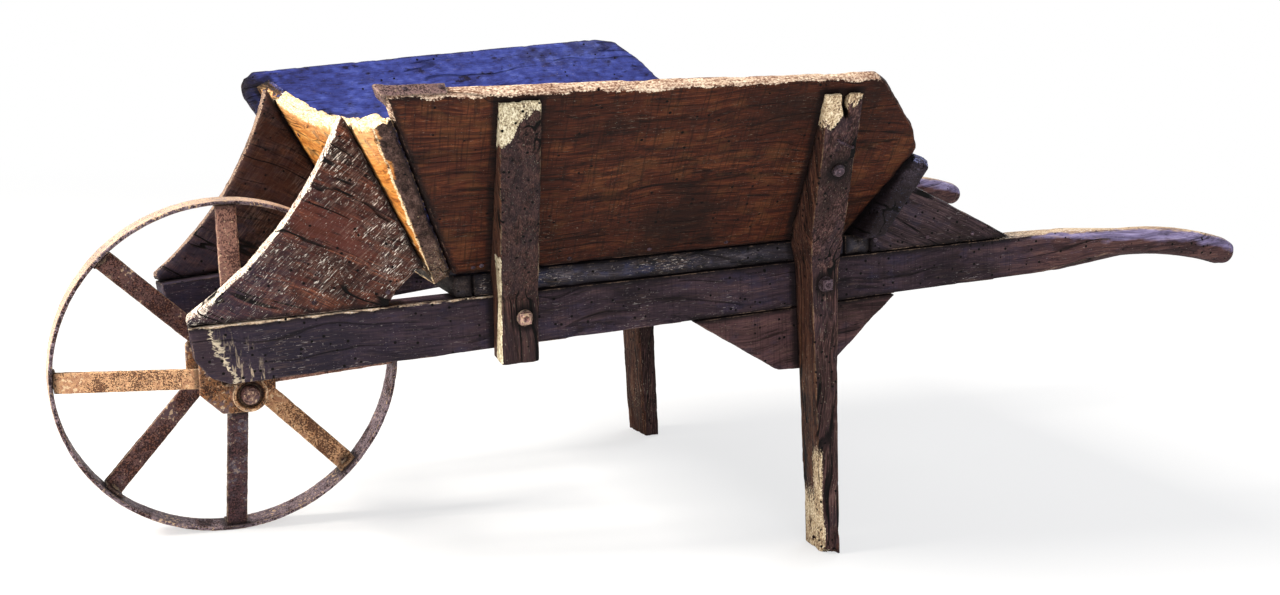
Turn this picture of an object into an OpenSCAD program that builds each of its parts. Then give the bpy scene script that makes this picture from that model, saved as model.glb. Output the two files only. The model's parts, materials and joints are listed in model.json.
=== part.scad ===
// Wooden wheelbarrow with an iron spoked wheel, two long rails that end in
// handles, a flared open tray and two legs.
// X points forward to the wheel, Y to the left of the person pushing, Z up.
// The origin is on the ground, under the middle of the whole barrow.

/* [Wheel] */
// Outer diameter of the iron tyre
wheel_d = 500; // [470:5:520]
// Width of the tyre
tyre_w = 42; // [30:1:50]
// Thickness of the tyre
tyre_t = 7; // [4:1:10]
// Number of flat spokes, every other one from the other end of the hub
spoke_count = 8; // [6,8,10]
// Width of a spoke
spoke_w = 31; // [20:1:36]
// Thickness of a spoke
spoke_t = 5; // [4:1:8]
// Length of the hub over its end plates
hub_l = 140; // [110:2:160]
// Diameter of the hub barrel
hub_d = 64; // [50:2:70]
// Octagonal end plates of the hub, across the flats
plate_af = 108; // [96:2:120]
// Thickness of the end plates
plate_t = 8; // [5:1:10]
// Angle the wheel is stopped at, turned about its axle
wheel_turn = -3; // [-22.5:0.5:22.5]
// Diameter of the axle
axle_d = 27; // [22:1:30]
// How far each end of the axle stands inside the rails' outer faces
axle_inset = 9.5; // [0:0.5:20]

/* [Rails] */
// Height of the rails' top edge over the axle line, above the axle
deck_rise = 108; // [100:1:130]
// Slope of the rails and floor, rising to the rear
rise = 6.9; // [3:0.1:9]
// Outward angle of each rail, to the rear
splay = 7.4; // [4:0.1:9]
// Half the distance over the rails' outer faces, at the axle
rail_half = 187.5; // [185:0.5:195]
// Thickness of a rail
rail_t = 48; // [40:1:52]
// Depth of a rail at its front end
rail_front_h = 86; // [80:1:92]
// Depth of a rail where the handle begins
rail_rear_h = 65; // [60:1:72]
// Length of a rail in front of the axle
rail_nose = 88; // [70:1:100]
// Length of a rail behind the tailboard's foot, to the start of the handle
rail_tail = 369; // [330:1:430]
// Length of the round handle beyond the rail
handle_l = 382; // [300:2:400]
// Diameter of the handle's grip, at most a little less than the rail's thickness
handle_d = 47; // [40:1:47]

/* [Tray] */
// Thickness of the floor
floor_t = 32; // [24:1:36]
// Distance from the back of the wheel to the front edge of the floor
floor_gap = 21; // [15:1:40]
// Length of the floor, to the tailboard's foot
floor_l = 600; // [500:1:640]
// Number of floor planks
plank_count = 4; // [2:1:6]
// Outward lean of the sides
side_lean = 36.6; // [20:0.1:40]
// Thickness of the sides
side_t = 20; // [18:1:30]
// Height of the left side at the front, up its slope
left_front_h = 341; // [310:1:350]
// Height of the left side at the rear, up its slope
left_rear_h = 317; // [300:1:330]
// Height of the right side at the front, up its slope
right_front_h = 315; // [310:1:350]
// Height of the right side at the rear, up its slope
right_rear_h = 330; // [300:1:335]
// How far the right side reaches in front of the front board
right_reach = 26; // [10:1:30]
// Forward lean of the front board, from square to the floor
front_lean = 25.1; // [15:0.1:30]
// Thickness of the front board
front_t = 28; // [20:1:34]
// Height of the front board at its ends, up its slope
front_h = 275; // [240:1:285]
// Depth of the hollow worn into the top of the front board
front_wear = 28; // [0:1:32]
// Backward lean of the tailboard, from square to the floor
tail_lean = 21.3; // [10:0.1:26]
// Thickness of the tailboard
tail_t = 36; // [28:1:40]
// Height of the tailboard, up its slope
tail_h = 144; // [120:1:150]

/* [Supports] */
// Width of a leg at the rail
leg_w = 46; // [40:1:55]
// Width of a leg at the ground
leg_foot_w = 32; // [28:1:45]
// Thickness of a leg
leg_t = 63; // [45:1:65]
// Distance from a leg's front edge to the tailboard's foot
leg_ahead = 79; // [60:1:160]
// Width of a stake
stake_w = 56; // [45:1:60]
// Thickness of a stake at the rail
stake_t = 55; // [40:1:60]
// Distance from the floor's front edge to a stake's front edge
stake_back = 55; // [45:1:110]
// Outward lean of a front cheek
cheek_lean = 11.8; // [5:0.1:15]
// Thickness of a front cheek
cheek_t = 26; // [20:1:30]
// Height of a front cheek up its slope
cheek_h = 278; // [240:1:282]

/* [Fits] */
// Gap all round between the axle and the eyes it turns in
axle_gap = 0.08; // [0.02:0.01:0.1]
// Gap all round between a fixed pin and its hole
pin_gap = 0.05; // [0.02:0.01:0.2]
// Gap between neighbouring floor planks
plank_gap = 3; // [2:0.5:6]

/* [Hidden] */
$fn = 96;
big = 2000;
wheel_r = wheel_d / 2;
axle_l = 2 * (rail_half - axle_inset);
// Distances behind the axle, along the rails
floor_front = wheel_r + floor_gap;
floor_rear = floor_front + floor_l;
rail_reach = floor_rear + rail_tail;
leg_x = floor_rear - leg_ahead;
stake_x = floor_front + stake_back;
tyre_in = wheel_r - tyre_t;
handle_r = min(handle_d, rail_t - 1) / 2;
// The rail's corners are shaved down to the round grip between these distances from the axle.
shave_from = rail_reach - 40;
grip_from = rail_reach + 150;
// The grip dips to its tip along an arc.
grip_dip = 20;
grip_bend = (handle_l - 150 - handle_r) / sin(grip_dip);
// Centre and radius of the ball that rounds a handle's tip, in its rail's frame
tip_r = handle_r - 1;
handle_tip = [-grip_from - grip_bend * sin(grip_dip), -rail_rear_h / 2 - grip_bend * (1 - cos(grip_dip))];
// How far the handles reach behind the axle, along the ground
tip_reach = cos(rise) * (rail_t / 2 * sin(splay) - handle_tip[0] * cos(splay))
    - sin(rise) * handle_tip[1] + tip_r;
// How far the axle stands ahead of the origin
axle_x = (tip_reach - wheel_r) / 2;
// How far left of the origin the barrow's middle plane stands: the right
// side is the taller one, so it reaches out further.
mid_y = (right_rear_h - left_rear_h) * sin(side_lean) * cos(splay) / 2;
bolt_r = 6;
head_r = 11;
washer_r = 12.5;
bolt_x_stake = stake_x + stake_w / 2 + 5;
bolt_x_leg = leg_x + leg_w / 2;
bolt_z = -24;
leg_bolt_h = 173;
eye_w = 30;
eye_r = 24.5;
upper_leg_lean = side_lean - 11.6;
upper_stake_lean = side_lean - 9.6;
iron = [0.42, 0.29, 0.22];
rust = [0.55, 0.36, 0.22];
dark_wood = [0.27, 0.17, 0.15];
rail_wood = [0.30, 0.21, 0.21];
red_wood = [0.36, 0.18, 0.12];
raw_wood = [0.80, 0.58, 0.30];

// ---- Frames ----
// The deck is the plane of the rails' top edges, with its zero over the axle.
module on_deck() translate([axle_x, mid_y, wheel_r + deck_rise]) rotate([0, rise, 0]) children();
// Left rail: X along it, Y = 0 on its outer face, Z = 0 on its top edge.
module on_rail() on_deck() translate([0, rail_half, 0]) rotate([0, 0, -splay]) children();
// Left side of the tray: Y = 0 on its outer face, Z up its slope.
module on_side() on_rail() translate([0, 0, floor_t]) rotate([-side_lean, 0, 0]) children();
// Left front cheek: Y = 0 on its outer face, Z up its slope.
module on_cheek() on_rail() rotate([-cheek_lean, 0, 0]) children();
// Front board: X = 0 on its rear face, Z up its slope.
module on_front() on_deck() translate([-floor_front, 0, floor_t]) rotate([0, front_lean, 0]) children();
// Tailboard: X = 0 on its front face, Z up its slope.
module on_tail() on_deck() translate([-floor_rear, 0, floor_t]) rotate([0, -tail_lean, 0]) children();
// Upper part of the left leg: Y = 0 on its outer face.
module on_upper_leg() on_rail() translate([0, leg_t, 0]) rotate([-upper_leg_lean, 0, 0]) children();
// The wheel: its axis along Y, through the origin.
module on_axle() translate([axle_x, mid_y, wheel_r]) children();
module on_wheel() on_axle() rotate([0, -wheel_turn, 0]) children();
module right() translate([0, 2 * mid_y, 0]) mirror([0, 1, 0]) children();

// A plate with the outline points in X and Z, between two values of Y.
module upright(points, y0, y1)
    translate([0, y1, 0]) rotate([90, 0, 0]) linear_extrude(y1 - y0) polygon(points);
// A bar with the section points in Y and Z, between two values of X.
module along(points, x0, x1)
    translate([x0, 0, 0]) rotate([90, 0, 90]) linear_extrude(x1 - x0) polygon(points);
// Space below the deck plane, below the floor's top, and below the ground.
module under_deck() on_deck() translate([-big, -big, -big]) cube([2 * big, 2 * big, big]);
module under_floor() on_deck() translate([-big, -big, floor_t - big]) cube([2 * big, 2 * big, big]);
module under_ground() translate([-big, -big, -big]) cube([2 * big, 2 * big, big]);
// Space outside the left side and the left rail.
module outside_side() on_side() translate([-big, 0, -big]) cube([2 * big, big, 2 * big]);
module outside_rail() on_rail() translate([-big, 0, -big]) cube([2 * big, big, 2 * big]);
module past_front_rear_face() on_front() translate([0, -big, -big]) cube([big, 2 * big, 2 * big]);
module behind_front_face() on_front() translate([front_t - big, -big, -big]) cube([big, 2 * big, 2 * big]);
// Space behind the tailboard's front face, up to the tailboard's top.
module behind_tail_front() on_tail() translate([-big, -big, -big]) cube([big, 2 * big, big + tail_h + 4]);
module ahead_of_tail_rear() on_tail() translate([-tail_t, -big, -big]) cube([big, 2 * big, 2 * big]);
module both_sides() { children(); right() children(); }

// ---- Wheel ----
module tyre() color(rust) on_axle() rotate([90, 0, 0]) difference() {
    cylinder(r = wheel_r, h = tyre_w, center = true);
    cylinder(r = tyre_in, h = tyre_w + 1, center = true);
}

module hub() color(iron) on_wheel() rotate([90, 0, 0]) difference() {
    union() {
        cylinder(d = hub_d, h = hub_l - plate_t, center = true);
        for (end = [-1, 1]) translate([0, 0, end * (hub_l - plate_t) / 2])
            rotate([0, 0, 22.5]) cylinder(d = plate_af / cos(22.5), h = plate_t, center = true, $fn = 8);
    }
    cylinder(r = axle_d / 2 + pin_gap, h = hub_l + 1, center = true);
}

module axle() color(iron) on_axle() rotate([90, 0, 0])
    cylinder(d = axle_d, h = axle_l, center = true);

// Turn about the axle and the end of the hub for spoke number i.
function spoke_turn(i) = (i - 1) * 360 / spoke_count;
function spoke_end(i) = (i % 2 == 1) ? 1 : -1;
// A flat bar whose inner foot lies on the end plate and whose outer foot
// is bent over to lie inside the tyre.
foot_y = hub_l / 2 - plate_t;
foot_r = plate_af / 2 - 4;
toe_y = tyre_w / 2 - 7;
module spoke(i) color(rust) on_wheel() rotate([0, -spoke_turn(i), 0])
    mirror([0, spoke_end(i) < 0 ? 1 : 0, 0]) intersection() {
        linear_extrude(spoke_w, center = true) polygon([
            [hub_d / 2 + 1, foot_y], [foot_r, foot_y],
            [tyre_in + 1, toe_y + 3], [tyre_in + 1, -toe_y],
            [tyre_in - spoke_t, -toe_y], [tyre_in - spoke_t, toe_y - spoke_t],
            [foot_r - 1, foot_y - spoke_t], [hub_d / 2 + 1, foot_y - spoke_t]]);
        rotate([90, 0, 0]) cylinder(r = tyre_in, h = 2 * hub_l, center = true);
    }

// Rivet heads on the spokes' outer feet.
module tyre_rivets() color(iron) on_wheel() for (i = [1 : spoke_count])
    rotate([0, -spoke_turn(i), 0]) translate([tyre_in - spoke_t, 0, 0]) rotate([0, -90, 0]) {
        cylinder(r = 7, h = 2);
        cylinder(r = 5, h = 4);
    }

// ---- Rails and what hangs under them ----
rail_heel_x = rail_nose - 48;
function rail_bottom(x) = -rail_front_h
    + (rail_front_h - rail_rear_h) * (rail_heel_x - x) / (rail_heel_x + rail_reach);
module left_rail() color(rail_wood) difference() {
    on_rail() {
        upright([[rail_nose, 0], [rail_nose - 4, -46], [rail_nose - 22, -74], [rail_heel_x, -rail_front_h],
                 [-shave_from, -rail_rear_h], [-shave_from, 0]], -rail_t, 0);
        handle();
    }
    stake_bolt_hole();
    leg_bolt_holes();
}

// The handle: the square rail is shaved to a round grip, which dips to a round tip.
module handle() translate([0, -rail_t / 2, -rail_rear_h / 2]) {
    intersection() {
        translate([-grip_from, -rail_t / 2, -rail_rear_h / 2])
            cube([grip_from - shave_from, rail_t, rail_rear_h]);
        translate([-grip_from, 0, 0]) rotate([0, 90, 0])
            cylinder(r1 = handle_r, r2 = norm([rail_t, rail_rear_h]) / 2 + 1, h = grip_from - shave_from);
    }
    translate([-grip_from, 0, -grip_bend]) rotate([90, 0, 0]) {
        rotate([0, 0, 90]) rotate_extrude(angle = grip_dip) translate([grip_bend, 0]) circle(r = handle_r);
        rotate([0, 0, 90 + grip_dip]) translate([grip_bend, 0, 0]) sphere(r = tip_r);
    }
}

// The eye: a ring round the axle under a plate on the rail's bottom edge.
eye_y = axle_l / 2 - 8;
plate_front = 52;
plate_back = -60;
module left_axle_eye() color(iron) difference() {
    union() {
        on_axle() translate([0, eye_y, 0]) rotate([90, 0, 0]) cylinder(r = eye_r, h = eye_w);
        intersection() {
            on_rail() upright([[plate_front, -rail_front_h], [plate_back, -rail_front_h + 1.8],
                               [plate_back, -rail_front_h - 3], [plate_front, -rail_front_h - 5]],
                              -rail_t, 0);
            on_axle() translate([-90, eye_y - eye_w, 0]) cube([180, eye_w, 60]);
        }
        on_axle() translate([-14, eye_y - eye_w, 10]) cube([28, eye_w, deck_rise - rail_front_h + 4]);
    }
    left_rail();
    on_axle() rotate([90, 0, 0]) cylinder(r = axle_d / 2 + axle_gap, h = 2 * axle_l, center = true);
}

// A board under the rail, deepest at the leg, set just inside the rail's outer face.
brace_t = 28;
brace_in = 2;
brace_front = -leg_x + 166;
brace_back = -leg_x - 177;
brace_low = -rail_rear_h - 107;
module left_leg_brace() color(dark_wood) on_rail()
    upright([[brace_front, rail_bottom(brace_front)], [-leg_x + 26, brace_low + 2],
             [-leg_x - 60, brace_low - 2], [brace_back, rail_bottom(brace_back)]],
            -brace_t - brace_in, -brace_in);

// ---- Legs and stakes ----
// Both stand on the rail's outer face and run up the outside of the tray's side.
// Outer corner of a support that ends at the height h up the side's slope.
function up_side(h) = [h * sin(side_lean), floor_t + h * cos(side_lean)];
leg_top = left_rear_h - 20;
leg_low = -(wheel_r + deck_rise + leg_x * sin(rise)) - 67;
leg_top_z = up_side(leg_top)[1];
module left_leg() color(dark_wood) difference() {
    on_rail() intersection() {
        along([[0, leg_low], [leg_t, leg_low], [leg_t, 0],
               [leg_t + (leg_top_z - 4) * tan(upper_leg_lean), leg_top_z - 4], up_side(leg_top),
               [0, floor_t]],
              -leg_x - 110, -leg_x + 90);
        upright([[-leg_x - 14, leg_low + 50], [-leg_x - 5, -171], [-leg_x, 0], [-leg_x + 12, 60],
                 [-leg_x + 21, 180], [-leg_x + 34, leg_top_z + 10], [-leg_x - 24, leg_top_z + 10],
                 [-leg_x - leg_w, 10], [-leg_x - 5 - (leg_w + leg_foot_w) / 2, -175],
                 [-leg_x - 14 - leg_foot_w, leg_low + 50], [-leg_x - 14 - leg_foot_w, leg_low],
                 [-leg_x - 14, leg_low]], -10, 400);
    }
    under_ground();
    leg_bolt_holes();
}

stake_top = left_rear_h + 5;
stake_low = -rail_front_h - 5;
stake_top_z = up_side(stake_top)[1];
stake_tip_x = -stake_x + 17;
module left_stake() color(dark_wood) difference() {
    on_rail() intersection() {
        along([[0, stake_low], [stake_t, stake_low], [stake_t, 0],
               [stake_t + (stake_top_z - 6) * tan(upper_stake_lean), stake_top_z - 6], up_side(stake_top),
               [0, floor_t]], -stake_x - 150, -stake_x + 100);
        upright([[-stake_x + 4, stake_low], [-stake_x, 0], [stake_tip_x, stake_top_z + 2],
                 [stake_tip_x - stake_w, stake_top_z + 2], [-stake_x - stake_w, 0],
                 [-stake_x + 4 - stake_w, stake_low]], -10, 400);
    }
    stake_bolt_hole();
}

// A square-nutted bolt that runs inward along -Y from its outer seat, with a
// round head at the far end of the grip length.
module nut_bolt(grip) {
    rotate([90, 0, 0]) translate([0, 0, -12]) cylinder(r = bolt_r, h = grip + 14);
    rotate([-90, 0, 0]) cylinder(r = washer_r, h = 2.5);
    translate([-8.5, 2.5, -8.5]) cube([17, 8, 17]);
    translate([0, -grip, 0]) rotate([90, 0, 0]) cylinder(r = head_r, h = 5);
}
module bolt_hole(grip) translate([0, 5, 0]) rotate([90, 0, 0])
    cylinder(r = bolt_r + pin_gap, h = grip + 10);

module at_stake_bolt() on_rail() translate([-bolt_x_stake, stake_t, bolt_z]) children();
module at_leg_bolt() on_rail() translate([-bolt_x_leg, leg_t, bolt_z]) children();
module at_upper_bolt() on_upper_leg() translate([-bolt_x_leg + 14, 0, leg_bolt_h]) children();
upper_grip = 68;

module stake_bolt_hole() at_stake_bolt() bolt_hole(stake_t + rail_t);
module leg_bolt_holes() {
    at_leg_bolt() bolt_hole(leg_t + rail_t);
    at_upper_bolt() bolt_hole(upper_grip);
}
module left_stake_bolt() color(iron) at_stake_bolt() nut_bolt(stake_t + rail_t);
module left_leg_bolts() color(iron) {
    at_leg_bolt() nut_bolt(leg_t + rail_t);
    at_upper_bolt() {
        rotate([90, 0, 0]) cylinder(r = bolt_r, h = upper_grip);
        rotate([-90, 0, 0]) cylinder(r1 = head_r, r2 = head_r - 4, h = 7);
    }
}

// ---- Cheeks ----
// The front cheek stands on the rail and carries the front board. Its front
// edge is an arc hollowed between the nose and the tip.
cheek_nose = [rail_nose - 38, 39];
cheek_tip = [-floor_front + 141, cheek_h];
cheek_sag = 20;
module left_cheek() color(dark_wood) difference() {
    chord = cheek_tip - cheek_nose;
    hollow_r = (norm(chord) * norm(chord) / 4 + cheek_sag * cheek_sag) / (2 * cheek_sag);
    centre = (cheek_nose + cheek_tip) / 2 + [chord[1], -chord[0]] / norm(chord) * (hollow_r - cheek_sag);
    on_cheek() difference() {
        upright([[rail_nose, -20], [rail_nose + 2, 24], cheek_nose, cheek_tip,
                 [-floor_front + 11, cheek_h - 20], [-floor_front + 11, 60], [-floor_front + 51, 46],
                 [-floor_front + 74, 4], [-floor_front + 74, -20]], -cheek_t, 0);
        translate([centre[0], 1, centre[1]]) rotate([90, 0, 0])
            cylinder(r = hollow_r, h = cheek_t + 2, $fn = 360);
    }
    under_deck();
    behind_front_face();
}

// The rear cheek stands on the rail and holds up the tailboard.
rear_cheek_t = 30;
rear_cheek_h = floor_t + 0.68 * tail_h * cos(tail_lean);
module left_rear_cheek() color(dark_wood) difference() {
    on_rail() upright([[-floor_rear - 304, 0], [-floor_rear - 84, rear_cheek_h],
                       [-floor_rear + 21, rear_cheek_h], [-floor_rear + 21, 0]], -rear_cheek_t, 0);
    ahead_of_tail_rear();
    on_deck() translate([-batten_rear, -big, -1]) cube([big, 2 * big, floor_t + 1.01]);
}

// ---- Tray ----
// Half the distance over the rails' outer faces, on the deck at the distance d behind the axle.
function half_at(d) = rail_half + d * tan(splay);
front_batten_w = 27;
rear_batten_w = 43;
batten_rear = floor_rear + rear_batten_w;
plank_from = floor_front + front_batten_w;

// A slab of the floor between two distances behind the axle, out to the rails' outer faces.
module cross_slab(from, to, z0, z1) on_deck() translate([0, 0, z0]) linear_extrude(z1 - z0)
    polygon([[-from, half_at(from)], [-to, half_at(to)], [-to, -half_at(to)], [-from, -half_at(from)]]);
module front_batten() color(dark_wood) cross_slab(floor_front, plank_from, 0, floor_t);
module rear_batten() color(dark_wood) cross_slab(floor_rear, batten_rear, 0, floor_t);

// Floor planks lie lengthwise. The two outer ones widen with the rails.
inner_plank_w = 2.084 * half_at(floor_front) / plank_count;
module floor_plank(i) color(red_wood) {
    from_right = (i - plank_count / 2 - 1) * inner_plank_w;
    y0 = i == 1 ? -big : from_right + plank_gap / 2;
    y1 = i == plank_count ? big : from_right + inner_plank_w - plank_gap / 2;
    intersection() {
        cross_slab(plank_from, floor_rear, 0, floor_t);
        on_deck() translate([-big, y0, -1]) cube([2 * big, y1 - y0, floor_t + 2]);
    }
}

// Bearers run across between the rails, under the planks.
bearer_w = 60;
bearer_h = 50;
module bearer(d) color(dark_wood) difference() {
    cross_slab(d, d + bearer_w, -bearer_h, 0);
    both_sides() on_rail() translate([-big, -rail_t, -big]) cube([2 * big, big, 2 * big]);
}
module front_bearer() bearer(bolt_x_stake + 2 * head_r);
module middle_bearer() bearer((floor_front + floor_rear - bearer_w) / 2);
module rear_bearer() bearer(floor_rear - 30);

side_front_x = -floor_front + 106;
side_rear_x = -floor_rear + 33;
side_far_x = -floor_front + 230;
side_back_x = -floor_rear - 89;
// Height of a side's top edge at x, from its heights at the front and at the rear.
function side_top(x, h) = h[1] + (h[0] - h[1]) * (x - side_rear_x) / (side_front_x - side_rear_x);
left_h = [left_front_h, left_rear_h];
right_h = [right_front_h, right_rear_h];
// A side's outline, with the points of its front top corner and its rounded rear corner.
module side_board(h, front_corner, rear_corner) color(red_wood) difference() {
    on_side() upright(concat(front_corner, [[side_rear_x, h[1]]],
                             [for (step = rear_corner) [side_rear_x - step[0], h[1] - step[1]]],
                             [[side_back_x, -20], [front_corner[0][0], -20]]), -side_t, 0);
    under_floor();
    behind_tail_front();
    leg_bolt_holes();
}
module left_side() difference() {
    side_board(left_h, [[side_far_x, side_top(side_far_x, left_h)]],
               [[18, 14], [87, 102], [110, 146], [118, 185]]);
    past_front_rear_face();
}
// The right side runs on past the front board, and is notched round the cheek.
notch_h = 90;
module right_side() right() difference() {
    side_board(right_h, [[side_front_x + 39, right_h[0] - 35], [side_front_x + 33, right_h[0] - 14],
                         [side_front_x + 11, right_h[0]]], [[43, 10], [82, 56], [113, 106], [120, 150]]);
    on_front() translate([front_t + right_reach, -big, -big]) cube([big, 2 * big, 2 * big]);
    on_front() translate([0, -big, -big]) cube([big, 2 * big, big + notch_h]);
}

// Iron strap over the front top corner of the left side, turned down in front of it.
strap_t = 3;
strap_l = 82;
strap_drop = 16;
module left_corner_strap() color(iron) {
    h = left_h;
    near = side_far_x;
    far = side_front_x - strap_l;
    difference() {
        on_side() upright([[near, side_top(near, h)], [far, side_top(far, h)],
                           [far, side_top(far, h) + strap_t], [near, side_top(near, h) + strap_t]],
                          -side_t, 0);
        on_front() translate([strap_t, -big, -big]) cube([big, 2 * big, 2 * big]);
    }
    intersection() {
        on_front() translate([0, 0, -big]) cube([strap_t, big, 2 * big]);
        on_side() upright([[near, side_top(near, h) + strap_t], [far, side_top(far, h) + strap_t],
                           [far, h[0] - strap_drop], [near, h[0] - strap_drop]], -side_t, 0);
    }
}

// The front board runs over the end of the left side, and up to the right side's inner face.
front_half = half_at(floor_front - front_h * sin(front_lean))
    + front_h * cos(front_lean) * tan(side_lean) + 60;
wear_half = front_half - 130;
wear_r = (wear_half * wear_half + front_wear * front_wear) / (2 * front_wear + 0.001);
module front_board() color(raw_wood) difference() {
    on_front() difference() {
        translate([0, -front_half, 0]) cube([front_t, 2 * front_half, front_h]);
        translate([-1, 0, front_h - front_wear + wear_r]) rotate([0, 90, 0])
            cylinder(r = wear_r, h = front_t + 2, $fn = 720);
    }
    outside_side();
    right() on_side() translate([-big, -side_t, -big]) cube([2 * big, big, 2 * big]);
}

// The tailboard sticks out past the sides, and its ends lean.
tail_foot_half = half_at(floor_rear) + 47.4;
tail_end_lean = 23;
module tailboard() color(dark_wood) difference() {
    top_half = tail_foot_half + tail_h * tan(tail_end_lean);
    on_tail() rotate([90, 0, 90]) translate([0, 0, -tail_t]) linear_extrude(tail_t)
        polygon([[-tail_foot_half, -30], [tail_foot_half, -30], [tail_foot_half, 0], [top_half, tail_h - 14],
                 [top_half - 12, tail_h], [-top_half + 12, tail_h], [-top_half, tail_h - 14],
                 [-tail_foot_half, 0]]);
    under_floor();
}

tyre();
hub();
axle();
tyre_rivets();
for (i = [1 : spoke_count])
    spoke(i);
left_rail();
right() left_rail();  // right_rail
left_axle_eye();
right() left_axle_eye();  // right_axle_eye
left_cheek();
right() left_cheek();  // right_cheek
left_rear_cheek();
right() left_rear_cheek();  // right_rear_cheek
left_leg();
right() left_leg();  // right_leg
left_leg_brace();
right() left_leg_brace();  // right_leg_brace
left_stake();
right() left_stake();  // right_stake
left_side();
right_side();
left_corner_strap();
left_stake_bolt();
right() left_stake_bolt();  // right_stake_bolt
left_leg_bolts();
right() left_leg_bolts();  // right_leg_bolts
front_batten();
rear_batten();
front_bearer();
middle_bearer();
rear_bearer();
for (i = [1 : plank_count])
    floor_plank(i);
front_board();
tailboard();
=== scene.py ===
import json
import math

import bpy
import numpy as np
from mathutils import Matrix, Vector, kdtree
from mathutils.bvhtree import BVHTree

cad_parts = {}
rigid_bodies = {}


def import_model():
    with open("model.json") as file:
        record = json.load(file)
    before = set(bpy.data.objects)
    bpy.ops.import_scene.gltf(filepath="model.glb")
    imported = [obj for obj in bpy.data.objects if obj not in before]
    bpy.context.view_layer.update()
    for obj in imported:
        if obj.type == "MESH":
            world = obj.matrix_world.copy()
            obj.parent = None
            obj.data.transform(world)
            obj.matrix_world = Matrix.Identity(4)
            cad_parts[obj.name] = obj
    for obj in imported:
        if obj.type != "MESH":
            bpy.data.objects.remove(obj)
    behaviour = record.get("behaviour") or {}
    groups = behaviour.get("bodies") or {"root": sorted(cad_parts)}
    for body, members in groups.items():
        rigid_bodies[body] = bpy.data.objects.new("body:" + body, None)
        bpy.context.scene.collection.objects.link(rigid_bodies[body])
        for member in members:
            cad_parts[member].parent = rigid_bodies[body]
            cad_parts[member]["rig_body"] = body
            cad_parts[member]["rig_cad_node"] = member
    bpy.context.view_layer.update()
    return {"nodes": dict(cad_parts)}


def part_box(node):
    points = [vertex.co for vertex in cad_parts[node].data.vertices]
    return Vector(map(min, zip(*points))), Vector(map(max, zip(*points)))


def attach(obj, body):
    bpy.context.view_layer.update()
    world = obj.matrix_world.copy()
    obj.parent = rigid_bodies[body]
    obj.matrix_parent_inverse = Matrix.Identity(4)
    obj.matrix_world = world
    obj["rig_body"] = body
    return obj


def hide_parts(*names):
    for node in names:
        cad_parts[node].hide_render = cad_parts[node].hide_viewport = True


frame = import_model()
nodes = frame["nodes"]
bodyOf = {node: nodes[node]["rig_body"] for node in nodes}

# metres and degrees, as the timber was cut and set up
layout = {
    "axleX": (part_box("axle")[0].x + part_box("axle")[1].x) / 2,
    "midY": (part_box("axle")[0].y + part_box("axle")[1].y) / 2,
    "wheelR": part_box("tyre")[1].z / 2,
    "deckRise": 0.108,
    "rise": 6.9,
    "splay": 7.4,
    "railHalf": 0.1875,
    "floorThick": 0.032,
    "floorFront": 0.271,
    "floorRear": 0.871,
    "sideLean": 36.6,
    "cheekLean": 11.8,
    "frontLean": 25.1,
    "tailLean": 21.3,
    "legThick": 0.063,
    "legLean": 25.0,
    "stakeThick": 0.055,
    "stakeLean": 27.0,
}


def shift(x, y, z):
    return Matrix.Translation((x, y, z))


def turn(axis, degrees):
    return Matrix.Rotation(math.radians(degrees), 4, axis)


hands = ((1, "left_"), (-1, "right_"))  # side is 1 for the left and -1 for the right
deckZ = layout["wheelR"] + layout["deckRise"]
deckFrame = shift(layout["axleX"], layout["midY"], deckZ) @ turn("Y", layout["rise"])
frontEnd = shift(-layout["floorFront"], 0, layout["floorThick"])
frontFrame = deckFrame @ frontEnd @ turn("Y", layout["frontLean"])
rearEnd = shift(-layout["floorRear"], 0, layout["floorThick"])
tailFrame = deckFrame @ rearEnd @ turn("Y", -layout["tailLean"])


def railFrame(side):
    return deckFrame @ shift(0, side * layout["railHalf"], 0) @ turn("Z", -side * layout["splay"])


def sideFrame(side):
    return railFrame(side) @ shift(0, 0, layout["floorThick"]) @ turn("X", -side * layout["sideLean"])


def cheekFrame(side):
    return railFrame(side) @ turn("X", -side * layout["cheekLean"])


def propFrame(side, thick, lean):
    # the sloping upper face of a leg or a stake
    return railFrame(side) @ shift(0, side * thick, 0) @ turn("X", -side * lean)


def srgb(*levels):
    # a colour as it is seen, 0 to 255, turned into the linear one that a shader takes
    linear = [((c / 255 + 0.055) / 1.055) ** 2.4 if c > 10 else c / 255 / 12.92 for c in levels]
    return (*linear, 1)


def shades(*colours):
    return tuple(srgb(*colour) for colour in colours)


class Wire:
    # a shader socket that takes + - * in Python
    def __init__(self, tree, socket):
        self.tree = tree
        self.socket = socket

    def node(self, kind, settings=None, values=None, out=0):
        added = self.tree.nodes.new("ShaderNode" + kind)
        for name, value in (settings or {}).items():
            if name == "stops":
                elements = added.color_ramp.elements
                while len(elements) < len(value):
                    elements.new(1)
                for element, (place, colour) in zip(elements, value):
                    element.position = place
                    element.color = colour
            else:
                setattr(added, name, value)
        for name, value in (values or {}).items():
            slot = added.inputs[name]
            if isinstance(value, Wire):
                self.tree.links.new(value.socket, slot)
            else:
                slot.default_value = value
        return Wire(self.tree, added.outputs[out])

    def math(self, operation, first, second=0):
        return self.node("Math", {"operation": operation}, {0: first, 1: second})

    def __add__(self, other):
        return self.math("ADD", self, other)

    __radd__ = __add__

    def __sub__(self, other):
        return self.math("SUBTRACT", self, other)

    def __rsub__(self, other):
        return self.math("SUBTRACT", other, self)

    def __mul__(self, other):
        return self.math("MULTIPLY", self, other)

    __rmul__ = __mul__


def newFinish(name):
    finish = bpy.data.materials.new(name)
    finish.use_nodes = True
    tree = finish.node_tree
    surface = tree.nodes["Principled BSDF"]
    start = Wire(tree, tree.nodes.new("ShaderNodeTexCoord").outputs["Object"])
    return finish, surface, start


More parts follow.
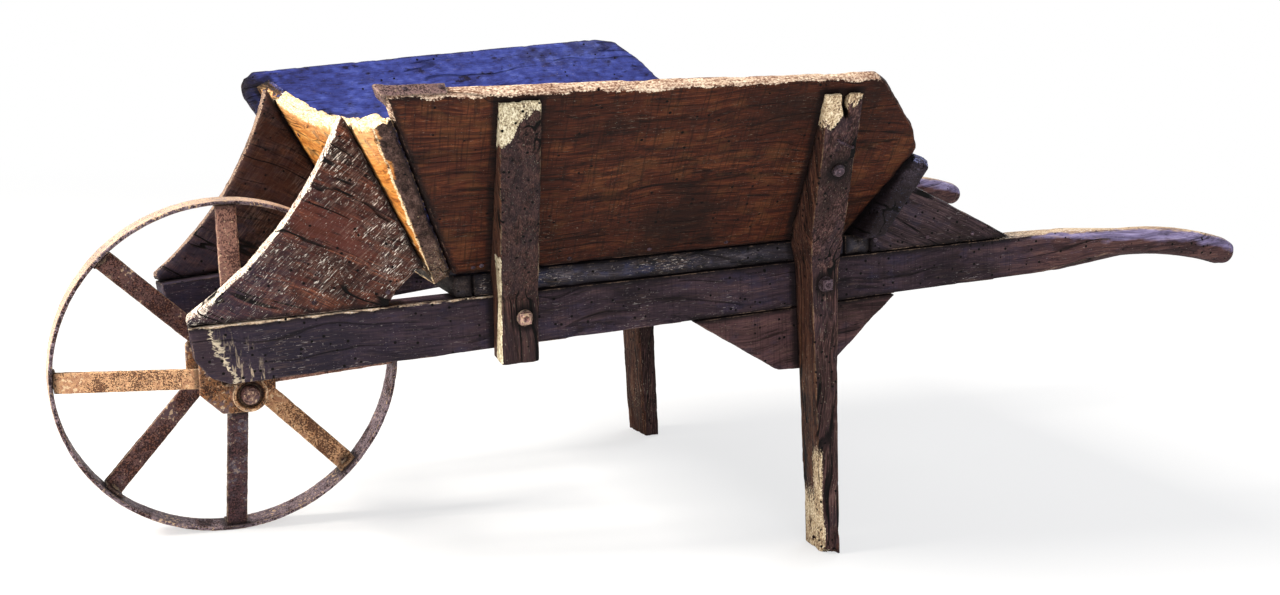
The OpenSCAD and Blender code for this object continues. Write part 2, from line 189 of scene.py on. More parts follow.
def ramp(value, low, high):
    # 0 below low, 1 above high, smooth between, and the other way round where low is above high
    return value.node("MapRange", {"interpolation_type": "SMOOTHSTEP"},
                      {"Value": value, "From Min": low, "From Max": high, "To Min": 0, "To Max": 1})


def near(value, middle, width):
    # 1 at the middle, 0 at width away from it
    gap = value - middle
    return ramp(gap.math("ABSOLUTE", gap), width, width * 0.4)


def mix(mask, first, second):
    return mask.node("Mix", {"data_type": "RGBA"}, {0: mask, 6: first, 7: second}, 2)


def tones(value, low, high, *colours):
    step = (high - low) / (len(colours) - 1)
    stops = [(low + step * number, colour) for number, colour in enumerate(colours)]
    return value.node("ValToRGB", {"stops": stops}, {"Fac": value})


def stretched(place, along, across, up=None):
    return place.node("VectorMath", {"operation": "MULTIPLY"},
                      {0: place, 1: (along, across, across if up is None else up)})


def noise(place, detail=4, rough=0.55):
    values = {"Vector": place, "Scale": 1, "Detail": detail, "Roughness": rough}
    return place.node("TexNoise", None, values)


def coordinate(place, axis):
    return place.node("SeparateXYZ", None, {"Vector": place}, axis)


def layer(start, name):
    return start.node("Attribute", {"attribute_name": name}, None, 2)


def inFrame(start, local):
    # Object coordinates turned into those of a board's own frame
    return start.node("Mapping", {"vector_type": "TEXTURE"},
                      {"Vector": start, "Location": local.to_translation(), "Rotation": local.to_euler()})


def finishOff(start, surface, colour, rough, height, depth):
    bump = height.node("Bump", None, {"Height": height, "Strength": 1.0, "Distance": depth})
    start.tree.links.new(colour.socket, surface.inputs["Base Color"])
    start.tree.links.new(rough.socket, surface.inputs["Roughness"])
    start.tree.links.new(bump.socket, surface.inputs["Normal"])


woodLook = {
    "tones": shades((24, 14, 12), (42, 26, 22), (60, 38, 31), (90, 58, 46)),
    "dark": srgb(20, 12, 12),
    "stain": srgb(44, 38, 46),
    "pale": srgb(206, 184, 154),
    "worn": srgb(160, 132, 110),
    "bright": srgb(236, 220, 194),
    "grain": turn("Y", 0),
    "scratch": turn("Y", 0),
    "wave": 0.05,
    "across": 80,
    "fibre": 0.5,
    "hatch": 0.15,
    "red": srgb(98, 50, 38),
    "darkShare": 0.8,
    "stainShare": 0.5,
    "fleck": 0.3,
    "fleckRoom": 0.5,
    "saw": 0.15,
    "holes": 0.5,
    "cracks": 0.6,
    "edge": 0.3,
}


def weatheredWood(name, local, look, cover=None, side=1):
    # local is the board's own frame; cover adds what only that board has, and says where it is bare
    look = {**woodLook, **look}
    finish, surface, start = newFinish(name)
    board = inFrame(start, local)
    place = inFrame(start, local @ look["grain"])
    drift = place.node("TexNoise", None, {"Vector": place, "Scale": 4.5, "Detail": 2}, 1)
    wave = {0: drift, 1: (look["wave"],) * 3, 2: place}
    bent = drift.node("VectorMath", {"operation": "MULTIPLY_ADD"}, wave)
    streak = noise(stretched(bent, 4, look["across"]), 5, 0.66)
    fibre = noise(stretched(bent, 17, 520), 3, 0.6)
    cloud = noise(stretched(place, 4.5, 9), 3, 0.55)
    mottle = noise(stretched(place, 30, 44), 4, 0.62)
    grit = noise(stretched(place, 300, 420), 3, 0.7)
    colour = tones(streak + (fibre - 0.5) * look["fibre"], 0.32, 0.68, *look["tones"])
    colour = mix(ramp(cloud + (streak - 0.5) * 0.7, 0.5, 0.66) * look["darkShare"], colour, look["dark"])
    stained = ramp(mottle + (0.5 - cloud) * 0.9, 0.5, 0.68)
    colour = mix(stained * look["stainShare"], colour, look["stain"])
    sawn = noise(stretched(place, 330, 14), 2, 0.5)
    colour = mix(ramp(sawn, 0.5, 0.66) * look["saw"], colour, look["dark"])
    # scratches and raised fibres, in patches: pale marks, painted bright as glints where they catch the
    # light
    ragged = inFrame(start, local @ look["scratch"])
    room = 0.3 * look["fleckRoom"]
    patch = ramp(noise(stretched(place, 7, 9), 3, 0.55), 0.62 - room, 0.9 - room)
    scratch = ramp(noise(stretched(ragged, 90, 660), 2, 0.5) + patch * 0.07, 0.67, 0.71)
    speck = ramp(noise(stretched(ragged, 330, 600), 1, 0.5) + patch * 0.04, 0.72, 0.77)
    hatch = ramp(noise(stretched(ragged, 32, 560), 3, 0.65) + patch * 0.06, 0.52, 0.66)
    hatch = hatch * (patch * 0.7 + 0.3) * look["hatch"]
    fleck = (scratch * (patch * 0.8 + 0.2) + speck * (patch * 0.5 + 0.5)) * look["fleck"]
    # long cracks that follow the grain
    seam = noise(stretched(bent, 1.5, 26), 2, 0.5)
    broken = ramp(noise(stretched(place, 6, 18), 2, 0.5), 0.48, 0.55)
    crack = near(seam, 0.5, 0.017) * broken * look["cracks"]
    # wormholes
    cells = {"Vector": place, "Scale": 125}
    cellRandom = place.node("TexVoronoi", None, cells, 1)
    hole = ramp(place.node("TexVoronoi", None, cells), 0.28, 0.22)
    hole = hole * ramp(coordinate(cellRandom, 0), 1 - 0.2 * look["holes"], 1.005 - 0.2 * look["holes"])
    arris, wear, grime = layer(start, "arris"), layer(start, "wear"), layer(start, "grime")
    rub = ramp(arris + (mottle - 0.5) * 7 + (grit - 0.5) * 6, 2.3, 0.2) * look["edge"]
    bare = ramp(wear + (mottle - 0.5) * 0.7 + (grit - 0.5) * 1.5, 0.42, 0.6)
    frayed = grit * 0.5 + mottle * 0.2 + fibre * 0.3
    paleWood = tones(frayed, 0.39, 0.6, look["stain"], look["worn"], look["pale"], look["bright"])
    at = {
        "start": start, "board": board, "along": bent, "streak": streak, "fibre": fibre,
        "cloud": cloud, "mottle": mottle, "x": coordinate(board, 0),
        "out": coordinate(board, 1) * side, "z": coordinate(board, 2),
    }
    if cover:
        colour, line = cover(colour, look, **at)
        bare = bare.math("MAXIMUM", bare, line)
    colour = mix(hatch, colour, look["worn"])
    colour = mix(fleck, colour, look["bright"])
    soil = ramp(noise(stretched(place, 46, 210), 3, 0.6), 0.58, 0.7) * 0.6
    colour = mix(soil, colour, look["dark"])
    # painted shade near other pieces and in the splits, with grime and the marks' darkening, towards near
    # black
    colour = mix(ramp(grime + (mottle - 0.5) * 0.5, 0.25, 0.95) * 0.9, colour, srgb(14, 9, 10))
    colour = mix(rub, colour, look["worn"])
    colour = mix(bare, colour, paleWood)
    colour = mix(crack + hole, colour, srgb(6, 4, 4))
    rough = 0.68 + (mottle - 0.5) * 0.3 + bare * 0.15
    height = streak * 0.5 + fibre * 0.45 + mottle * 0.4 + fleck * 0.6 - crack * 2 - hole * 2 - soil * 0.3
    finishOff(start, surface, colour, rough, height, 0.0016)
    surface.inputs["Specular IOR Level"].default_value = 0.1
    return finish


ironLook = {
    "bright": srgb(214, 184, 150),
    "tones": shades((150, 112, 96), (84, 60, 54), (34, 22, 24)),  # flaking, sound and pitted
    "rust": srgb(132, 74, 40),
    "grey": srgb(92, 84, 96),
    "rustShare": 0.6,
    "greyShare": 0.5,
    "pitShare": 0.85,
    "flakeShare": 0.6,
    "edge": 0.7,
    "metal": 0.1,
}


def rustyIron(name, look):
    look = {**ironLook, **look}
    light, sound, pitted = look["tones"]
    finish, surface, start = newFinish(name)
    spot = noise(stretched(start, 430, 430), 3, 0.65)
    grain = noise(stretched(start, 170, 170), 4, 0.65)
    cloud = noise(stretched(start, 26, 26), 4, 0.6)
    colour = tones(grain + (cloud - 0.5) * 0.9, 0.34, 0.64, sound, light)
    colour = mix(ramp(cloud + (grain - 0.5) * 0.8, 0.54, 0.66) * look["rustShare"], colour, look["rust"])
    colour = mix(ramp(cloud + (grain - 0.5) * 0.6, 0.46, 0.36) * look["greyShare"], colour, look["grey"])
    pit = ramp(spot + (cloud - 0.5) * 0.8, 0.53, 0.58)
    flake = ramp(noise(stretched(start, 200, 200), 3, 0.6) - (cloud - 0.5) * 0.6, 0.62, 0.67)
    colour = mix(flake * look["flakeShare"], colour, look["bright"])
    colour = mix(pit * look["pitShare"], colour, pitted)
    polish = ramp(layer(start, "wear") + (grain - 0.5) * 0.8, 0.3, 0.6)
    colour = mix(polish * 0.85, colour, mix(ramp(spot, 0.4, 0.62), look["bright"], light))
    # arrises painted pale: rubbed iron, with a painted highlight along them
    arris = layer(start, "arris")
    colour = mix(ramp(arris + (grain - 0.5) * 2, 1.9, 0.3) * look["edge"], colour, look["bright"])
    # painted shade near other pieces and inside the eye's bore, and darker nail heads, towards near black
    shadeAndSoot = ramp(layer(start, "grime") + (grain - 0.5) * 0.5, 0.4, 1.0)
    colour = mix(shadeAndSoot * 0.8, colour, srgb(20, 13, 13))
    rough = 0.62 + (grain - 0.5) * 0.5 + pit * 0.15
    height = grain * 0.6 + spot * 0.4 - pit * 0.9 + cloud * 0.3
    finishOff(start, surface, colour, rough, height, 0.0009)
    surface.inputs["Metallic"].default_value = look["metal"]
    surface.inputs["Specular IOR Level"].default_value = 0.2
    return finish


print("finishes")


def lattice(i, j, k, seed):
    n = (i * 73856093) ^ (j * 19349663) ^ (k * 83492791) ^ (seed * 26544357)
    n = ((n ^ (n >> 13)) * 1274126177) & 0x7FFFFFFF
    return ((n >> 5) & 0xFFFF) / 32767.5 - 1


def lumps(points, seed, detail=2):
    # smooth unevenness from -1 to 1, one lump per unit
    total = np.zeros(len(points))
    for step in range(detail):
        at = points * 2 ** step
        cell = np.floor(at).astype(np.int64)
        part = at - cell
        part = part * part * (3 - 2 * part)
        for a, b, c in np.ndindex(2, 2, 2):
            share = np.prod(np.where([a, b, c], part, 1 - part), axis=1)
            corner = lattice(cell[:, 0] + a, cell[:, 1] + b, cell[:, 2] + c, seed + step)
            total += share * corner / 2 ** step
    return total


def fade(value, low, high):
    part = np.clip((value - low) / (high - low), 0, 1)
    return part * part * (3 - 2 * part)


def readMesh(piece, what):
    flat = np.zeros(len(piece.data.vertices) * 3)
    piece.data.vertices.foreach_get(what, flat)
    return flat.reshape(-1, 3)


def putPoints(piece, points):
    piece.data.vertices.foreach_set("co", points.ravel())
    piece.data.update()


def putLayer(piece, name, values):
    data = piece.data.attributes.new(name, "FLOAT", "POINT")
    data.data.foreach_set("value", values.astype(np.float32))


def evenLayer(piece, name, value):
    putLayer(piece, name, np.full(len(piece.data.vertices), value))


def deselect():
    bpy.ops.object.select_all(action="DESELECT")


def pick(piece):
    deselect()
    piece.select_set(True)
    bpy.context.view_layer.objects.active = piece


def made(name):
    # the primitive that was just added, as a piece of that name
    piece = bpy.context.view_layer.objects.active
    piece.name = name
    return piece


def copyOf(node):
    # a merged copy of a plain CAD piece
    pick(nodes[node])
    bpy.ops.object.duplicate()
    first, *others = node.split("_")
    piece = made(first + "".join(word.capitalize() for word in others))
    piece.parent = None
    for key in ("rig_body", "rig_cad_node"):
        del piece[key]
    bpy.ops.object.mode_set(mode="EDIT")
    bpy.ops.mesh.select_all(action="SELECT")
    bpy.ops.mesh.remove_doubles(threshold=0.00002)
    bpy.ops.mesh.dissolve_limited(angle_limit=math.radians(0.5))
    bpy.ops.object.mode_set(mode="OBJECT")
    return piece


def arrisTree(piece, angle=32):
    # points along the sharp edges, to know how far any place is from one
    mesh = piece.data
    faces = {}
    for face in mesh.polygons:
        for key in face.edge_keys:
            faces.setdefault(key, []).append(face.normal)
    points = []
    for (a, b), normals in faces.items():
        if len(normals) == 2 and normals[0].angle(normals[1], 0) > math.radians(angle):
            start, end = mesh.vertices[a].co, mesh.vertices[b].co
            count = max(1, int((end - start).length / 0.002))
            points += [start.lerp(end, step / count) for step in range(count + 1)]
    tree = kdtree.KDTree(max(1, len(points)))
    for number, point in enumerate(points):
        tree.insert(point, number)
    tree.balance()
    return tree


def arrisGaps(tree, points, limit):
    found = (tree.find(point)[2] for point in points)
    return np.array([limit if gap is None else min(limit, gap) for gap in found])


def meshTree(pieces):
    points, faces = [], []
    for piece in pieces:
        count = len(points)
        points += [vertex.co.copy() for vertex in piece.data.vertices]
        faces += [[count + number for number in face.vertices] for face in piece.data.polygons]
    return BVHTree.FromPolygons(points, faces) if faces else None


def neighbours(node, reach=0.04):
    low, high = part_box(node)
    found = []
    for other in nodes:
        start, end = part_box(other)
        if other != node and bodyOf[other] == bodyOf[node] and all(
                start[i] < high[i] + reach and end[i] > low[i] - reach for i in range(3)):
            found.append(nodes[other])
    return found


def gapsTo(tree, points, limit):
    if not tree:
        return np.full(len(points), limit)
    found = (tree.find_nearest(Vector(point), limit) for point in points)
    return np.array([limit if hit[3] is None else hit[3] for hit in found])


def useModifier(piece, kind, **settings):
    pick(piece)
    added = piece.modifiers.new(kind.lower(), kind)
    for name, value in settings.items():
        setattr(added, name, value)
    bpy.ops.object.modifier_apply(modifier=added.name)


def split(x, z, width, length, depth, lean=0, twist=0.3):
    # a cutter for a crack down from (x, z) on a face: open at the top, closed at its lower end
    deselect()
    bpy.ops.mesh.primitive_cube_add(size=1)
    cutter = made("split")
    bpy.ops.object.mode_set(mode="EDIT")
    bpy.ops.mesh.subdivide(number_cuts=5)
    bpy.ops.object.mode_set(mode="OBJECT")
    points = readMesh(cutter, "co")
    points[:, 0] *= 0.1 + 0.9 * (points[:, 2] + 0.5)
    points[:, 0] += twist * np.sin(points[:, 2] * 9) * length / width * 0.12
    putPoints(cutter, points * (width, depth, length) - (0, 0, length / 2))
    cutter.data.transform(shift(x, 0, z) @ turn("Y", lean))
    return cutter


agedLook = {
    "along": "X",  # the way the grain runs
    "voxel": 0.003,
    "rounding": 0.0012,
    "rough": 0.0005,
    "nibble": 0.0016,
    "angle": 60,
    "arrisWidth": 0.012,
    "arrisReach": 0.03,
    "gapReach": 0.04,
    # painted shade where other pieces come near: the gap where it begins, the gap where it is full, how
    # strong
    "grime": (0.017, 0.001, 0.85),  # from this gap to this one, and how strong
    # painted shade inside the splits: from this depth to this one
    "crackGrime": (0.0016, 0.0028),
    "lumpScale": 13,
    "chipScale": 38,
}


def aged(node, local, side, finish, look=None, marks=None, cuts=None, shape=None, seed=1):
    # a copy of the plain piece with worn arrises, uneven faces and chips, and layers that say where
    # it is rubbed, and where painted shade and grime darken it; marks gives more wear and darkening,
    # cuts the splits, shape moves the points
    look = {**agedLook, **(look or {})}
    piece = copyOf(node)
    whole = meshTree([piece])
    piece.data.transform(local.inverted())
    tree = arrisTree(piece)
    for cutter in (cuts() if cuts else []):
        useModifier(piece, "BOOLEAN", operation="DIFFERENCE", object=cutter, solver="EXACT")
        bpy.data.objects.remove(cutter)
    useModifier(piece, "REMESH", mode="VOXEL", voxel_size=look["voxel"])
    useModifier(piece, "SMOOTH", factor=0.5, iterations=2)
    points, normals = readMesh(piece, "co"), readMesh(piece, "normal")
    world = points @ np.array(local.to_3x3()).T + np.array(local.to_translation())
    toArris = arrisGaps(tree, points, look["arrisReach"])
    toOthers = gapsTo(meshTree(neighbours(node)), world, look["gapReach"])
    # painted shade where other pieces of the same body come near
    far, close, share = look["grime"]
    grime = fade(toOthers, far, close) * share
    # painted shade inside the splits, darker the deeper a place lies
    if cuts:
        grime = np.maximum(grime, fade(gapsTo(whole, world, 0.01), *look["crackGrime"]))
    wear = np.zeros(len(points))
    if marks:
        out = points * (1, side, 1)
        facing = normals * (1, side, 1)
        bumps = lambda scale, step=0: lumps(points * scale, seed + 31 + step, 2)
        wear, more = marks(out, facing, toArris, bumps)
        grime = np.maximum(grime, more)
    putLayer(piece, "arris", toArris * 1000)
    putLayer(piece, "wear", wear)
    putLayer(piece, "grime", grime)
    grain = np.where([axis == look["along"] for axis in "XYZ"], 1.0, 9.0)
    edge = np.clip(1 - toArris / look["arrisWidth"], 0, 1)
    chips = np.clip(lumps(points * look["chipScale"], seed, 3) - 0.1, 0, 1)
    move = look["rough"] * (lumps(points * grain * look["lumpScale"], seed + 5, 3) - 0.6)
    move -= look["rounding"] * edge ** 2 + look["nibble"] * edge * chips
    points += normals * move[:, None]
    if shape:
        points = shape(points, normals, side)
    putPoints(piece, points)
    piece.data.transform(local)
    pick(piece)
    bpy.ops.object.shade_smooth_by_angle(angle=math.radians(look["angle"]))
    piece.data.materials.clear()
    piece.data.materials.append(finish)
    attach(piece, bodyOf[node])
    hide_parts(node)
    return piece


# rails: split at the nose, pale along the top arris, rubbed lavender grey at the handles,
# with a painted highlight on the handles' tops and painted shade beneath
railPlan = {
    "wood": {
        "tones": shades((26, 18, 23), (44, 33, 40), (58, 44, 51), (80, 60, 62)),
        "dark": srgb(20, 14, 19), "stain": srgb(44, 40, 58), "fleck": 0.5, "fleckRoom": 0.3,
        "holes": 0.8, "bright": srgb(206, 194, 190), "edge": 0.35, "saw": 0.35,
    },
    "handle": shades((82, 74, 98), (112, 102, 136), (152, 142, 178)),
    # painted shade: the colours of the handle's faces turned down
    "under": shades((38, 25, 27), (66, 45, 46), (96, 67, 62)),
    "age": {"nibble": 0.0012},
    # painted highlight: the colours of the handle's faces turned up
    "above": shades((120, 96, 84), (168, 140, 112), (214, 188, 150)),
    "skinned": shades((40, 26, 24), (64, 44, 40)),
    "lip": srgb(226, 208, 178),
    "shade": srgb(38, 36, 52),
    "grip": (-1.14, -1.28),  # where the handle's colour begins, and where it is full
    "noseSplit": 0.064,
    "noseSlope": 0.36,
}


def railCover(colour, look, start, board, x, out, z, streak, fibre, mottle, **rest):
    low, high = 0.34, 0.66
    grain = streak + (fibre - 0.5) * 0.6
    # the handle: painted shade on faces turned down, lavender grey on the sides, painted highlight on
    # faces turned up
    up = layer(start, "up") + (mottle - 0.5) * 0.5
    under = tones(grain, low, high, *railPlan["under"])
    handleLitAndShaded = mix(ramp(up, 0.05, 0.4), under, tones(grain, low, high, *railPlan["handle"]))
    handleLitAndShaded = mix(ramp(up, 0.78, 0.96), handleLitAndShaded, tones(grain, low, high, *railPlan["above"]))
    grip = ramp(x + (mottle - 0.5) * 0.1, *railPlan["grip"])
    colour = mix(grip, colour, handleLitAndShaded)
    # the nose has lost its skin ahead of a jagged line, which is pale
    jag = z * railPlan["noseSlope"] + (mottle - 0.5) * 0.05 + (fibre - 0.5) * 0.02
    past = x - (jag + railPlan["noseSplit"])
    outer = ramp(out, -0.006, -0.002)
    skinned = ramp(past, -0.001, 0.001) * outer
    colour = mix(skinned, colour, mix(fibre, *railPlan["skinned"]))
    torn = noise(stretched(board, 150, 60, 26), 3, 0.6)
    gouge = ramp(torn, 0.54, 0.6) * ramp(past, -0.052, -0.03) * ramp(past, -0.001, -0.003)
    gouge = gouge * ramp(torn + z * 2, 0.6, 0.45)
    colour = mix(gouge * outer * 0.9, colour, look["pale"])
    lip = near(past, -0.0015, 0.0042) * outer * ramp(mottle, 0.36, 0.44)
    colour = mix(lip, colour, railPlan["lip"])
    shade = ramp(x + (mottle - 0.5) * 0.3, -0.45, 0.05)
    colour = mix(shade * 0.4, colour, railPlan["shade"])
    # the top arris shows bare wood along the front
    line = ramp(z + (mottle - 0.5) * 0.01, -0.0042, -0.0022) * ramp(out, -0.008, -0.003)
    return colour, line * ramp(x, -0.34, -0.3) * ramp(fibre + mottle, 0.86, 0.98)


def railGripWearAndHighlight(out, facing, edge, bumps):
    # the grip's upward faces rubbed pale, which also serves as a painted highlight
    grip = fade(out[:, 0], -1.10, -1.16) * fade(out[:, 0], -1.46, -1.36)
    return grip * fade(facing[:, 2], 0.75, 0.98) * 0.5, 0


def railShape(points, normals, side):
    # the bark and sapwood have split off ahead of the break
    x, y, z = points.T
    line = railPlan["noseSplit"] + railPlan["noseSlope"] * z + 0.004 * lumps(points * (60, 60, 60), 71, 2)
    depth = 0.0035 * fade(x, line - 0.001, line + 0.0015)
    torn = 0.0025 * np.clip(lumps(points * (90, 30, 16), 72, 2), 0, 1)
    torn *= fade(x, line - 0.05, line - 0.02) * fade(line - x, 0, 0.003)
    points[:, 1] -= side * (depth + torn) * fade(y * side, -0.008, -0.001)
    return points


for side, hand in hands:
    local = railFrame(side)
    wood = weatheredWood(hand + "railWood", local, railPlan["wood"], railCover, side)
    piece = aged(hand + "rail", local, side, wood, railPlan["age"], railGripWearAndHighlight, None, railShape, 3)
    # how far each face looks up, for the handle's painted highlight and painted shade
    putLayer(piece, "up", np.clip(readMesh(piece, "normal")[:, 2], 0, 1))
print("rails")

# sides: reddish brown outside, worn cobalt paint inside
sidePlan = {
    "wood": {
        "tones": shades((24, 10, 7), (46, 20, 13), (58, 26, 16), (70, 33, 20), (96, 52, 30)),
        "dark": srgb(20, 11, 9), "stain": srgb(96, 62, 36), "pale": srgb(204, 176, 152),
        "worn": srgb(140, 108, 92), "fleck": 0.22, "fleckRoom": 0.25, "holes": 0.25, "edge": 0.4,
        "cracks": 0.5, "saw": 0.55, "stainShare": 0.3, "wave": 0.06, "hatch": 0.1, "across": 150,
        "fibre": 0.7,
    },
    "paint": shades((32, 31, 60), (47, 52, 110), (62, 72, 144), (88, 100, 172)),
    "dirt": srgb(38, 33, 50),
    "corner": srgb(30, 26, 32),
    "top": ((-0.165, 0.341), (-0.838, 0.317)),  # (x, height) at the front and at the rear
    "age": {"nibble": 0.004, "rounding": 0.003, "rough": 0.0007},
}


def sideCover(colour, look, board, x, out, z, streak, fibre, cloud, mottle, **rest):
    inner = ramp(out, -0.011, -0.0165)
    fine = noise(stretched(board, 50, 90), 4, 0.6)
    grain = fine * 0.5 + cloud * 0.5 + (fibre - 0.5) * 0.25
    paint = tones(grain, 0.3, 0.66, *sidePlan["paint"])
    low = ramp(cloud + (mottle - 0.5) * 0.8, 0.52, 0.68)
    paint = mix(low * 0.6, paint, sidePlan["dirt"])
    chipped = ramp(mottle + (streak - 0.5) * 0.6, 0.63, 0.69)
    paint = mix(chipped * 0.75, paint, look["dark"])
    front = ramp(x + (mottle - 0.5) * 0.08, -0.185, -0.135) * ramp(z, 0.1, 0.25)
    return mix(inner, colour, mix(front * 0.85, paint, sidePlan["corner"])), 0


def sideTop(x):
    # the left side board's height at x
    (front, high), (rear, low) = sidePlan["top"]
    return high + (low - high) * (x - front) / (rear - front)


def leftSideMarks(out, facing, edge, bumps):
    # the top edge is rubbed down to pale wood, in a ragged band
    x, z = out[:, 0], out[:, 2]
    top = sideTop(x)
    lap = 0.0035 + 0.0035 * bumps((22, 22, 22)) + 0.002 * bumps((90, 90, 90), 1)
    wear = fade(z, top - lap - 0.006, top - lap + 0.003) * fade(x, -0.89, -0.83)
    # the front end above the front board, turned to the key lamp, is painted pale: a painted highlight
    wear = np.maximum(wear, fade(facing[:, 0], 0.5, 0.8) * fade(z, 0.28, 0.31))
    # darker in a band under the worn top and towards the rear end
    grime = fade(z, top - 0.03, top - 0.012) * 0.3 * (1 - wear) + fade(x, -0.9, -0.95) * 0.2
    return wear * (0.85 - 0.3 * fade(bumps((14, 14, 14), 2), 0.2, 0.8)), grime


def rightSideMarks(out, facing, edge, bumps):
    # upward faces a little paler; darker along the arrises and towards the upper front corner
    x, z = out[:, 0], out[:, 2]
    dark = fade(edge, 0.012, 0.002) * 0.75
    corner = fade(x, -0.18, -0.13) * fade(z, 0.14, 0.3) * 0.8
    return fade(facing[:, 2], 0.6, 0.9) * 0.3, np.maximum(dark, corner)


for side, hand in hands:
    wood = weatheredWood(hand + "sideWood", sideFrame(side), sidePlan["wood"], sideCover, side)
    marks = leftSideMarks if side > 0 else rightSideMarks
    aged(hand + "side", sideFrame(side), side, wood, sidePlan["age"], marks, None, None, 7 + side)
print("sides")

# cheeks: scratched across their grain, worn white along the hollow front edge,
# with a painted highlight on the faces turned forward and up
cheekPlan = {
    "wood": {
        "tones": shades((24, 12, 11), (46, 25, 22), (76, 42, 33), (132, 78, 56)),
        "dark": srgb(18, 11, 12), "stain": srgb(42, 34, 40), "pale": srgb(222, 208, 192),
        "worn": srgb(168, 146, 132), "bright": srgb(246, 236, 222), "grain": turn("Y", -32),
        "scratch": turn("Y", 43), "fleck": 1.0, "fleckRoom": 0.82, "holes": 0.5, "edge": 0.5,
        "cracks": 1.0, "saw": 0.5, "stainShare": 0.5, "across": 60, "hatch": 0.3,
    },
    "far": {
        "tones": shades((20, 11, 9), (36, 21, 16), (52, 31, 23), (78, 48, 34)), "fleck": 0.18,
        "hatch": 0.3, "bright": srgb(150, 112, 84), "worn": srgb(122, 100, 88),
        "pale": srgb(152, 130, 114), "edge": 0.3, "red": srgb(62, 34, 24),
    },
    "age": {"nibble": 0.003, "rounding": 0.002, "rough": 0.0007},
    "nose": srgb(46, 42, 58),
    "crack": srgb(8, 5, 6),
    "hollow": ((0.05, 0.039), (-0.122, 0.278)),  # (x, z) of the front edge's lower and upper end
    "sag": 0.02,
}


def cheekLitFaces(facing):
    # 1 on the hollow edge, which looks forward and up towards the key lamp: a painted highlight
    return fade(facing[:, 0] * 0.75 + facing[:, 2] * 0.66, 0.5, 0.75)


def cheekMarks(out, facing, edge, bumps):
    x, z = out[:, 0], out[:, 2]
    (nose, low), (tip, high) = cheekPlan["hollow"]
    up = (z - low) / (high - low)
    sag = cheekPlan["sag"] * np.sin(np.clip(up, 0, 1) * math.pi)
    chord = x - (nose + (tip - nose) * up) + sag
    lap = 0.009 + 0.006 * bumps((24, 24, 24)) + 0.003 * bumps((80, 80, 80), 1)
    spill = fade(chord + lap, -0.006, 0.004) * fade(z, -0.03, 0.03)
    # faces turned forward and up get a painted highlight; the band along the hollow edge is wear
    return np.maximum(cheekLitFaces(facing) * 0.66, spill * 0.58), 0


def farCheekLightAndShade(out, facing, edge, bumps):
    # painted highlight on faces turned forward and up, painted shade on all the rest
    front = cheekLitFaces(facing)
    return front * (0.55 + 0.15 * bumps((20, 20, 20))), 0.3 * (1 - front)


def cheekShape(points, normals, side):
    # the rear foot is broken away, with a torn edge
    torn = 0.004 * lumps(points * (110, 60, 110), 76, 2)
    reach = fade(points[:, 2], 0.058, 0.004) * fade(points[:, 0] + torn, -0.150, -0.20)
    points[:, 0] += 0.014 * reach * (side > 0)
    return points


def cheekCover(colour, look, along, x, streak, cloud, mottle, **rest):
    # bluish towards the nose, and a few long cracks right across
    nose = ramp(x + (mottle - 0.5) * 0.16, -0.10, 0.04)
    colour = mix(nose * 0.5, colour, cheekPlan["nose"])
    across = noise(stretched(along, 0.8, 17), 2, 0.5)
    colour = mix(near(across, 0.5, 0.008) * ramp(mottle, 0.3, 0.5), colour, cheekPlan["crack"])
    red = ramp(cloud + (streak - 0.5) * 0.6, 0.48, 0.36)
    return mix(red * 0.5 * (1 - nose), colour, look["red"]), 0


for side, hand in hands:
    left = side > 0
    local = cheekFrame(side)
    look = {**cheekPlan["wood"], **({} if left else cheekPlan["far"])}
    wood = weatheredWood(hand + "cheekWood", local, look, cheekCover, side)
    marks = cheekMarks if left else farCheekLightAndShade
    aged(hand + "cheek", local, side, wood, cheekPlan["age"], marks, None, cheekShape, 11 + side)
print("cheeks")

# rear cheeks and the boards under the rails
rearPlan = {
    "wood": {
        "tones": shades((24, 17, 19), (44, 33, 36), (60, 46, 50), (84, 66, 68)),
        "stain": srgb(44, 40, 54), "grain": turn("Y", -29), "fleck": 0.55, "fleckRoom": 0.4,
        "holes": 1.0, "cracks": 1.0, "edge": 0.5, "wave": 0.02, "bright": srgb(200, 186, 184),
        "fibre": 0.9,
    },
    "brace": {
        "tones": shades((36, 23, 23), (60, 41, 42), (78, 54, 55), (98, 70, 66)),
        "stain": srgb(52, 44, 56), "fleck": 0.2, "fleckRoom": 0.3, "holes": 0.35, "edge": 0.25,
        "saw": 0.4,
    },
}
for side, hand in hands:
    local = railFrame(side)
    wood = weatheredWood(hand + "rearCheekWood", local, rearPlan["wood"], None, side)
    aged(hand + "rear_cheek", local, side, wood, seed=15 + side)
    wood = weatheredWood(hand + "braceWood", local, rearPlan["brace"], None, side)
    aged(hand + "leg_brace", local, side, wood, seed=27 + side)
print("rear cheeks")

